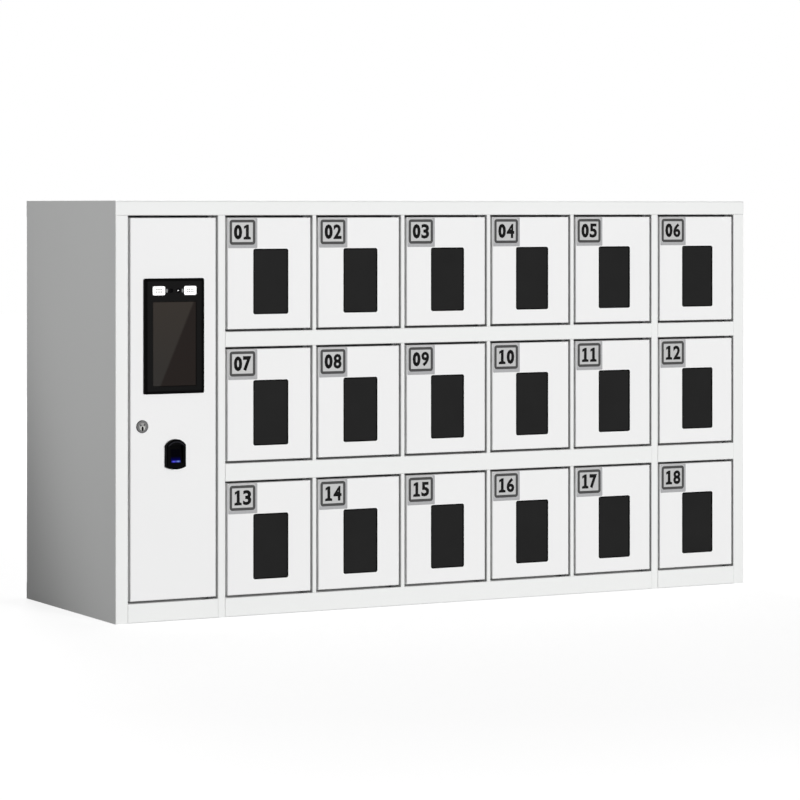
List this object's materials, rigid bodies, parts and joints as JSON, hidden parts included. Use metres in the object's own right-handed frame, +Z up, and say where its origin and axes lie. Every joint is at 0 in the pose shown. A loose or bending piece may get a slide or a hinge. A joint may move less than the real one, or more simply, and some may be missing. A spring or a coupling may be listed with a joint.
{
  "type": "cell phone locker",
  "caption": "Free-standing steel cell phone locker: rows of small hinged doors with dark windows beside a tall control bay with a face terminal, a fingerprint reader and a cam lock.",
  "frame": {"origin": "centre of the cabinet's underside, on the floor", "axes": "+X to the right along the front as a user faces the doors, +Y from the front to the rear panel, +Z up"},
  "size_m": [1.335, 0.439, 0.75],
  "materials": {
    "cabinet_paint": "satin powder coat on folded steel sheet",
    "door_paint": "satin powder coat on folded steel sheet",
    "smoked_acrylic": "smooth smoked acrylic",
    "lock_steel": "zinc-plated pressed steel",
    "bush_nylon": "natural nylon",
    "supply_case": "pressed aluminium case",
    "circuit_board": "solder-masked glass-fibre board",
    "inlet_plastic": "moulded black thermoplastic",
    "cable_sheath": "matt PVC sheath",
    "terminal_black": "polished black bezel and matt body",
    "screen_glass": "cover glass over a dark display",
    "lamp_diffuser": "milky diffuser",
    "lens_glass": "coated lens glass",
    "reader_plastic": "semi-gloss black moulding",
    "sensor_glass": "sensor glass lit blue from behind",
    "lock_plating": "bright nickel plating on zinc die casting"
  },
  "bodies": {
    "cabinet": {"left_side_panel": "cabinet_paint", "right_side_panel": "cabinet_paint", "top_panel": "cabinet_paint", "bottom_panel": "cabinet_paint", "rear_panel": "cabinet_paint", "bay_partition": "cabinet_paint", "column_dividers": "cabinet_paint", "shelves": "cabinet_paint", "inner_back": "cabinet_paint", "door_locks": "lock_steel", "hinge_bushes": "bush_nylon", "power_supply": "supply_case", "lock_controller": "circuit_board", "power_inlet": "inlet_plastic", "wiring_loom": "cable_sheath"},
    "control_door": {"control_door": "door_paint", "terminal_housing": "terminal_black", "terminal_screen": "screen_glass", "terminal_lamps": "lamp_diffuser", "camera_lenses": "lens_glass", "fingerprint_reader": "reader_plastic", "fingerprint_window": "sensor_glass", "lock_barrel": "lock_plating"},
    "lock_plug": {"lock_plug": "lock_plating"},
    "door_01": {"door_01": "door_paint", "window_01": "smoked_acrylic"},
    "door_02": {"door_02": "door_paint", "window_02": "smoked_acrylic"},
    "door_03": {"door_03": "door_paint", "window_03": "smoked_acrylic"},
    "door_04": {"door_04": "door_paint", "window_04": "smoked_acrylic"},
    "door_05": {"door_05": "door_paint", "window_05": "smoked_acrylic"},
    "door_06": {"door_06": "door_paint", "window_06": "smoked_acrylic"},
    "door_07": {"door_07": "door_paint", "window_07": "smoked_acrylic"},
    "door_08": {"door_08": "door_paint", "window_08": "smoked_acrylic"},
    "door_09": {"door_09": "door_paint", "window_09": "smoked_acrylic"},
    "door_10": {"door_10": "door_paint", "window_10": "smoked_acrylic"},
    "door_11": {"door_11": "door_paint", "window_11": "smoked_acrylic"},
    "door_12": {"door_12": "door_paint", "window_12": "smoked_acrylic"},
    "door_13": {"door_13": "door_paint", "window_13": "smoked_acrylic"},
    "door_14": {"door_14": "door_paint", "window_14": "smoked_acrylic"},
    "door_15": {"door_15": "door_paint", "window_15": "smoked_acrylic"},
    "door_16": {"door_16": "door_paint", "window_16": "smoked_acrylic"},
    "door_17": {"door_17": "door_paint", "window_17": "smoked_acrylic"},
    "door_18": {"door_18": "door_paint", "window_18": "smoked_acrylic"}
  },
  "joints": [
    {"name": "door_01_hinge", "type": "hinge", "parent": "cabinet", "child": "door_01", "pos_m": [-0.292, -0.2075, 0.61875], "axis": [0, 0, 1], "range_deg": [0, 110]},
    {"name": "door_02_hinge", "type": "hinge", "parent": "cabinet", "child": "door_02", "pos_m": [-0.109, -0.2075, 0.61875], "axis": [0, 0, 1], "range_deg": [0, 110]},
    {"name": "door_03_hinge", "type": "hinge", "parent": "cabinet", "child": "door_03", "pos_m": [0.074, -0.2075, 0.61875], "axis": [0, 0, 1], "range_deg": [0, 110]},
    {"name": "door_04_hinge", "type": "hinge", "parent": "cabinet", "child": "door_04", "pos_m": [0.257, -0.2075, 0.61875], "axis": [0, 0, 1], "range_deg": [0, 110]},
    {"name": "door_05_hinge", "type": "hinge", "parent": "cabinet", "child": "door_05", "pos_m": [0.44, -0.2075, 0.61875], "axis": [0, 0, 1], "range_deg": [0, 110]},
    {"name": "door_06_hinge", "type": "hinge", "parent": "cabinet", "child": "door_06", "pos_m": [0.63, -0.2075, 0.61875], "axis": [0, 0, 1], "range_deg": [0, 110]},
    {"name": "door_07_hinge", "type": "hinge", "parent": "cabinet", "child": "door_07", "pos_m": [-0.292, -0.2075, 0.38125], "axis": [0, 0, 1], "range_deg": [0, 110]},
    {"name": "door_08_hinge", "type": "hinge", "parent": "cabinet", "child": "door_08", "pos_m": [-0.109, -0.2075, 0.38125], "axis": [0, 0, 1], "range_deg": [0, 110]},
    {"name": "door_09_hinge", "type": "hinge", "parent": "cabinet", "child": "door_09", "pos_m": [0.074, -0.2075, 0.38125], "axis": [0, 0, 1], "range_deg": [0, 110]},
    {"name": "door_10_hinge", "type": "hinge", "parent": "cabinet", "child": "door_10", "pos_m": [0.257, -0.2075, 0.38125], "axis": [0, 0, 1], "range_deg": [0, 110]},
    {"name": "door_11_hinge", "type": "hinge", "parent": "cabinet", "child": "door_11", "pos_m": [0.44, -0.2075, 0.38125], "axis": [0, 0, 1], "range_deg": [0, 110]},
    {"name": "door_12_hinge", "type": "hinge", "parent": "cabinet", "child": "door_12", "pos_m": [0.63, -0.2075, 0.38125], "axis": [0, 0, 1], "range_deg": [0, 110]},
    {"name": "door_13_hinge", "type": "hinge", "parent": "cabinet", "child": "door_13", "pos_m": [-0.292, -0.2075, 0.13925], "axis": [0, 0, 1], "range_deg": [0, 110]},
    {"name": "door_14_hinge", "type": "hinge", "parent": "cabinet", "child": "door_14", "pos_m": [-0.109, -0.2075, 0.13925], "axis": [0, 0, 1], "range_deg": [0, 110]},
    {"name": "door_15_hinge", "type": "hinge", "parent": "cabinet", "child": "door_15", "pos_m": [0.074, -0.2075, 0.13925], "axis": [0, 0, 1], "range_deg": [0, 110]},
    {"name": "door_16_hinge", "type": "hinge", "parent": "cabinet", "child": "door_16", "pos_m": [0.257, -0.2075, 0.13925], "axis": [0, 0, 1], "range_deg": [0, 110]},
    {"name": "door_17_hinge", "type": "hinge", "parent": "cabinet", "child": "door_17", "pos_m": [0.44, -0.2075, 0.13925], "axis": [0, 0, 1], "range_deg": [0, 110]},
    {"name": "door_18_hinge", "type": "hinge", "parent": "cabinet", "child": "door_18", "pos_m": [0.63, -0.2075, 0.13925], "axis": [0, 0, 1], "range_deg": [0, 110]},
    {"name": "control_door_hinge", "type": "hinge", "parent": "cabinet", "child": "control_door", "pos_m": [-0.482, -0.2075, 0.379], "axis": [0, 0, 1], "range_deg": [0, 110]},
    {"name": "lock_plug_turn", "type": "hinge", "parent": "control_door", "child": "lock_plug", "pos_m": [-0.6165, -0.215, 0.3485], "axis": [0, -1, 0], "range_deg": [0, 90]}
  ]
}
